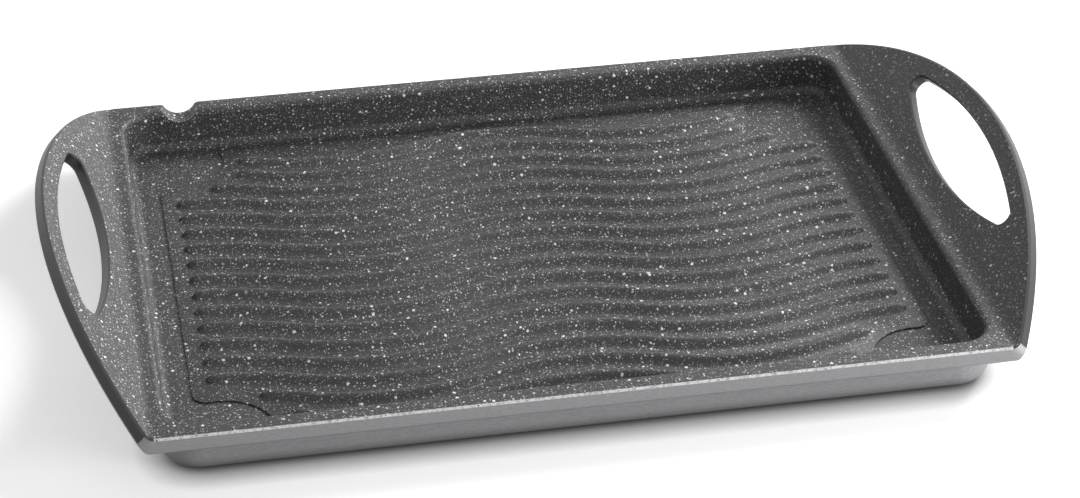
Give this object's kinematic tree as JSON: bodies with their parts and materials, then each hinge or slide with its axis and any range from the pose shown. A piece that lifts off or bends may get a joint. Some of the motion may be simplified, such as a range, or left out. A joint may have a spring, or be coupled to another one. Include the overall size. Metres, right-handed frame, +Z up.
{
  "type": "grill plate",
  "caption": "Rectangular cast grill plate with a shallow tray, wave-shaped ribs, corner fat pockets, a pouring notch and two upswept handles with finger holes.",
  "frame": {"origin": "on the surface that the plate stands on, under the middle of the plate", "axes": "+Z up, +X from the left handle to the right handle, +Y to the back rim that has the pouring notch"},
  "size_m": [0.4018, 0.26, 0.0527],
  "materials": {
    "coated_casting": "dark grey speckled non-stick coating inside and on top, smooth silver-grey lacquer outside",
    "sole_steel": "fine brushed ferritic stainless steel"
  },
  "bodies": {
    "root": {"tray_body": "coated_casting", "ribbed_field": "coated_casting", "handle_left": "coated_casting", "handle_right": "coated_casting", "sole_plate": "sole_steel"}
  },
  "joints": []
}
